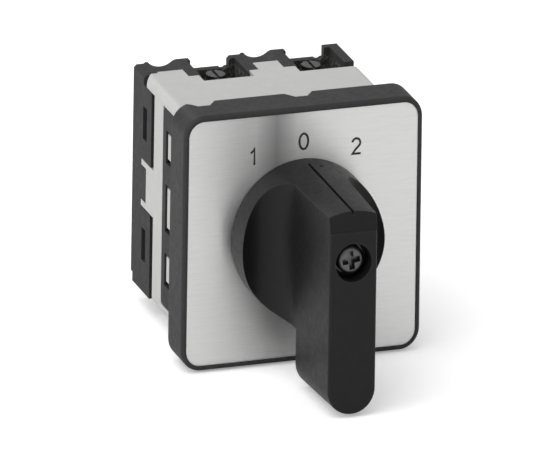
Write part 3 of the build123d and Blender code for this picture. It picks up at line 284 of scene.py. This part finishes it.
# the gain on edges sets how far the painted edge highlight lightens each plastic's colour
PLASTICS = {
    "knob_black": dict(base=0.010, tint=(1.04, 0.99, 1.0), rough=0.40, grain=0.008, shine=0.20,
                       edge_highlight_gain=7.0),
    "bezel_black": dict(base=0.027, rough=0.55, grain=0.010, edge=0.3, shine=0.26, edge_highlight_gain=3.0),
    "housing_black": dict(base=0.031, rough=0.6, shine=0.20, grain=0.018, edge=0.12, edge_highlight_gain=2.2,
                          speckled=True),
    "housing_grey": dict(base=0.50, tint=(1, 1, 0.985), rough=0.5, grain=0.010, edge_highlight_gain=1.2, edge=0.15,
                         contrast=0.025),
    "cam_acetal": dict(base=0.62, tint=(1, 0.98, 0.92), rough=0.38, grain=0.008, edge_highlight_gain=1.1, edge=0.1,
                       contrast=0.03),
    "seal_rubber": dict(base=0.012, rough=0.7, grain=0.03, edge=0.1),
}
METALS = {
    "zinc_steel": dict(base=0.55, tint=(1, 1, 1.02), rough=0.32),
    "dark_steel": dict(base=0.14, rough=0.38),
    "spring_steel": dict(base=0.45, rough=0.28, scratch=(1, 1, 4)),
    "contact_brass": dict(base=0.72, tint=(1, 0.78, 0.42), rough=0.3, scratch=(4, 1, 1)),
    "contact_silver": dict(base=0.82, tint=(1, 0.99, 0.96), rough=0.25),
}
SLOT_MATERIALS = {name: moulded_plastic(name + "_look", **values) for name, values in PLASTICS.items()}
SLOT_MATERIALS.update({name: metal(name + "_look", **values) for name, values in METALS.items()})
SLOT_MATERIALS["plate_brushed"] = brushed_plate()

for part in frame["record"]["subparts"]:
    node = NODES[part["node"]]
    node.data.materials.clear()
    node.data.materials.append(SLOT_MATERIALS[part["material_slot"]])


# ------------------------------------------------------------------ printed position numbers
PRINT_THICKNESS = 0.03 * MM
PRINT_SINK = 0.002 * MM
SAME_POINT = 1e-7
PRINT_WIDTH = 0.41 * MM
PRINT_HEIGHT = 3.15 * MM
PLATE_MIN, PLATE_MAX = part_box("legend_plate")
PLATE_FRONT = PLATE_MIN[1]
# each number: centre on the plate in mm, then strokes on a grid 1 wide and 1.6 tall
GRID_HEIGHT = 1.6
ZERO_STEPS = 48
ZERO_ANGLES = [2 * math.pi * i / ZERO_STEPS for i in range(ZERO_STEPS + 1)]
ZERO_RING = [(0.5 + 0.44 * math.cos(a), 0.8 + 0.74 * math.sin(a)) for a in ZERO_ANGLES]
TWO_ANGLES = [math.radians(degrees) for degrees in range(172, -46, -12)]
TWO_BOW = [(0.5 + 0.40 * math.cos(a), 1.13 + 0.41 * math.sin(a)) for a in TWO_ANGLES]
NUMBERS = {
    "0": ((0.0, 17.5), [ZERO_RING]),
    "1": ((-10.0, 15.5), [[(0.18, 1.18), (0.42, 1.34), (0.56, 1.58), (0.56, 0.02)]]),
    "2": ((10.6, 15.6), [TWO_BOW + [(0.40, 0.46), (0.12, 0.08), (0.96, 0.08)]]),
}


def ribbon(bm, points, width, back_y, front_y):
    """A flat printed stroke of even width along a line of (x, z) points."""
    rails = []
    closed = (Vector(points[0]) - Vector(points[-1])).length < SAME_POINT
    count = len(points)
    for i in range(count):
        before = points[i - 1] if i else (points[-2] if closed else points[0])
        after = points[i + 1] if i < count - 1 else (points[1] if closed else points[-1])
        here = Vector(points[i])
        out = (Vector(after) - here).normalized()
        into = (here - Vector(before)).normalized() if i or closed else out
        out = out if i < count - 1 or closed else into
        along = (into + out).normalized()
        side = Vector((-along.y, along.x))
        spread = width / 2 / max(0.5, along.dot(into))
        rails.append((here + side * spread, here - side * spread))
    rings = []
    for left, right in rails:
        corners = ((left, front_y), (right, front_y), (right, back_y), (left, back_y))
        rings.append([bm.verts.new((p.x, y, p.y)) for p, y in corners])
    for first, second in zip(rings, rings[1:]):
        for k in range(4):
            bm.faces.new((first[k], first[(k + 1) % 4], second[(k + 1) % 4], second[k]))
    if not closed:
        bm.faces.new(rings[0])
        bm.faces.new(reversed(rings[-1]))


def add_number(word, centre, strokes, material):
    bm = bmesh.new()
    unit = PRINT_HEIGHT / GRID_HEIGHT
    for stroke in strokes:
        points = [
            (centre[0] * MM + (u - 0.5) * unit, centre[1] * MM + (v - GRID_HEIGHT / 2) * unit)
            for u, v in stroke
        ]
        ribbon(bm, points, PRINT_WIDTH, PLATE_FRONT + PRINT_SINK, PLATE_FRONT - PRINT_THICKNESS)
    bmesh.ops.remove_doubles(bm, verts=bm.verts, dist=SAME_POINT / 10)
    bmesh.ops.recalc_face_normals(bm, faces=bm.faces)
    mesh = bpy.data.meshes.new("printed_" + word)
    bm.to_mesh(mesh)
    bm.free()
    mesh.materials.append(material)
    piece = bpy.data.objects.new("printed_" + word, mesh)
    bpy.context.scene.collection.objects.link(piece)
    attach(piece, "housing")


print_ink = moulded_plastic("printed_ink", 0.022, rough=0.6, grain=0.004, edge=0.02, contrast=0.2)
for word, (centre, strokes) in NUMBERS.items():
    add_number(word, centre, strokes, print_ink)


# ------------------------------------------------------------------ coil springs
COIL_TURNS = 3
COIL_STEPS = 28
WIRE_SIDES = 10
WIRE_RADIUS = 0.15 * MM
SPRING_BODIES = {
    "stage1_top_spring": "stage1_top_contact",
    "stage1_bottom_spring": "stage1_bottom_contact",
    "stage2_top_spring": "stage2_top_contact",
    "stage2_bottom_spring": "stage2_bottom_contact",
    "detent_top_spring": "detent_top",
    "detent_bottom_spring": "detent_bottom",
}


def add_spring(node):
    """A coil in the box of a spring part, standing in for that part, which is hidden."""
    low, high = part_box(node)
    radius = (high[0] - low[0]) / 2 - WIRE_RADIUS
    centre_x, centre_y = (low[0] + high[0]) / 2, (low[1] + high[1]) / 2
    first, last = low[2] + WIRE_RADIUS, high[2] - WIRE_RADIUS
    count = COIL_TURNS * COIL_STEPS
    bm = bmesh.new()
    rings = []
    for i in range(count + 1):
        turn = 2 * math.pi * i / COIL_STEPS
        outward = Vector((math.cos(turn), math.sin(turn), 0))
        centre = Vector((centre_x, centre_y, first + (last - first) * i / count)) + outward * radius
        ring = []
        for k in range(WIRE_SIDES):
            a = 2 * math.pi * k / WIRE_SIDES
            offset = outward * math.cos(a) + Vector((0, 0, math.sin(a)))
            ring.append(bm.verts.new(centre + offset * WIRE_RADIUS))
        rings.append(ring)
    for one, two in zip(rings, rings[1:]):
        for k in range(WIRE_SIDES):
            n = (k + 1) % WIRE_SIDES
            bm.faces.new((one[k], one[n], two[n], two[k]))
    bm.faces.new(rings[0])
    bm.faces.new(reversed(rings[-1]))
    bmesh.ops.recalc_face_normals(bm, faces=bm.faces)
    mesh = bpy.data.meshes.new("coil_" + node)
    bm.to_mesh(mesh)
    bm.free()
    mesh.materials.append(SLOT_MATERIALS["spring_steel"])
    piece = bpy.data.objects.new("coil_" + node, mesh)
    bpy.context.scene.collection.objects.link(piece)
    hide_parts(node)
    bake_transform(piece)


for node_name, body_name in SPRING_BODIES.items():
    add_spring(node_name)


# ------------------------------------------------------------------ stage, lights and camera
FLOOR_Z = -24.3 * MM
FLOOR_HALF = 8.0
FLOOR_GLOW = 0.3
ROOM_LIGHT = 0.6
ROOM_SEEN = 1.0
# each light: name, place in metres, width and height in metres, watts, seen by the camera
LIGHTS = (
    ("overhead", (-0.45, -0.2, 1.15), 0.9, 0.9, 6.6, True),
    ("side", (-1.1, -0.35, 0.45), 0.6, 0.6, 3.6, True),
    ("back", (-0.15, 1.3, 0.6), 0.5, 0.3, 1.4, False),
)
# how far a point moves right and up in the picture, per unit along X, Y and Z
IMAGE_RIGHT = Vector((0.94329, -0.34026, 0.01493))
IMAGE_UP = Vector((0.09616, 0.36295, 0.99943))
VIEW_YAW = math.radians(19.8)
VIEW_DISTANCE = 3.0
VIEW_WIDTH = 104.537 * MM
PLATE_CENTRE_SHIFT = (4.915 * MM, -1.285 * MM)
SENSOR = 36.0


def add_floor():
    """A pale flat sheet under the object, wide enough to fill every view."""
    mesh = bpy.data.meshes.new("floor")
    bm = bmesh.new()
    bmesh.ops.create_grid(bm, x_segments=8, y_segments=8, size=FLOOR_HALF)
    bmesh.ops.translate(bm, verts=bm.verts, vec=(0, 0, FLOOR_Z))
    bm.to_mesh(mesh)
    bm.free()
    floor = bpy.data.objects.new("floor", mesh)
    bpy.context.scene.collection.objects.link(floor)
    g = Graph("floor_paper")
    g.set("Base Color", g.mix(g.noise(6.0), rgb(0.93), rgb(0.96)))
    g.set("Roughness", 0.9)
    g.set("Specular IOR Level", 0.1)
    g.set("Emission Color", rgb(1.0))
    path = g.add("ShaderNodeLightPath")
    g.set("Emission Strength", g.math("MULTIPLY", path.outputs["Is Camera Ray"], FLOOR_GLOW))
    mesh.materials.append(g.material)


def add_light(name, place, width, height, watts, seen):
    """A rectangular studio light aimed at the origin."""
    data = bpy.data.lights.new(name, "AREA")
    data.shape = "RECTANGLE"
    data.size = width
    data.size_y = height
    data.energy = watts
    light = bpy.data.objects.new(name, data)
    light.location = place
    light.rotation_euler = (-Vector(place)).to_track_quat("-Z", "Y").to_euler()
    light.visible_camera = seen
    bpy.context.scene.collection.objects.link(light)


def add_world(strength, seen):
    """A white room: full white to the camera, softer as a light source."""
    world = bpy.data.worlds.new("studio")
    world.use_nodes = True
    tree = world.node_tree
    background = tree.nodes["Background"]
    background.inputs["Color"].default_value = (1, 1, 1, 1)
    path = tree.nodes.new("ShaderNodeLightPath")
    level = tree.nodes.new("ShaderNodeMapRange")
    level.inputs["To Min"].default_value = strength
    level.inputs["To Max"].default_value = seen
    tree.links.new(path.outputs["Is Camera Ray"], level.inputs["Value"])
    tree.links.new(level.outputs["Result"], background.inputs["Strength"])
    bpy.context.scene.world = world


def add_camera():
    """A long lens with a raised viewpoint and upright verticals.

    The image axes are not square to the line of sight, like a lens shifted down, so the camera's
    matrix is sheared; it is held in the parent inverse of an empty."""
    depth_row = Vector((-math.sin(VIEW_YAW), -math.cos(VIEW_YAW), 0))
    basis = Matrix((IMAGE_RIGHT, IMAGE_UP, depth_row)).inverted()
    right, up, back = (basis.col[i].normalized() for i in range(3))
    plate_centre = Vector((0, PLATE_FRONT, 0))
    target = plate_centre - basis.col[0] * PLATE_CENTRE_SHIFT[0] - basis.col[1] * PLATE_CENTRE_SHIFT[1]
    place = target + back * VIEW_DISTANCE
    data = bpy.data.cameras.new("camera")
    data.sensor_width = SENSOR
    data.lens = SENSOR * VIEW_DISTANCE / VIEW_WIDTH
    data.clip_start = 0.05
    data.clip_end = 50
    camera = bpy.data.objects.new("camera", data)
    holder = bpy.data.objects.new("camera_holder", None)
    for thing in (holder, camera):
        bpy.context.scene.collection.objects.link(thing)
    camera.parent = holder
    camera.matrix_parent_inverse = Matrix((
        (right.x, up.x, back.x, place.x),
        (right.y, up.y, back.y, place.y),
        (right.z, up.z, back.z, place.z),
        (0, 0, 0, 1),
    ))
    bpy.context.scene.camera = camera


add_floor()
add_world(ROOM_LIGHT, ROOM_SEEN)
for light_values in LIGHTS:
    add_light(*light_values)
add_camera()
bpy.context.scene.view_settings.view_transform = "Standard"
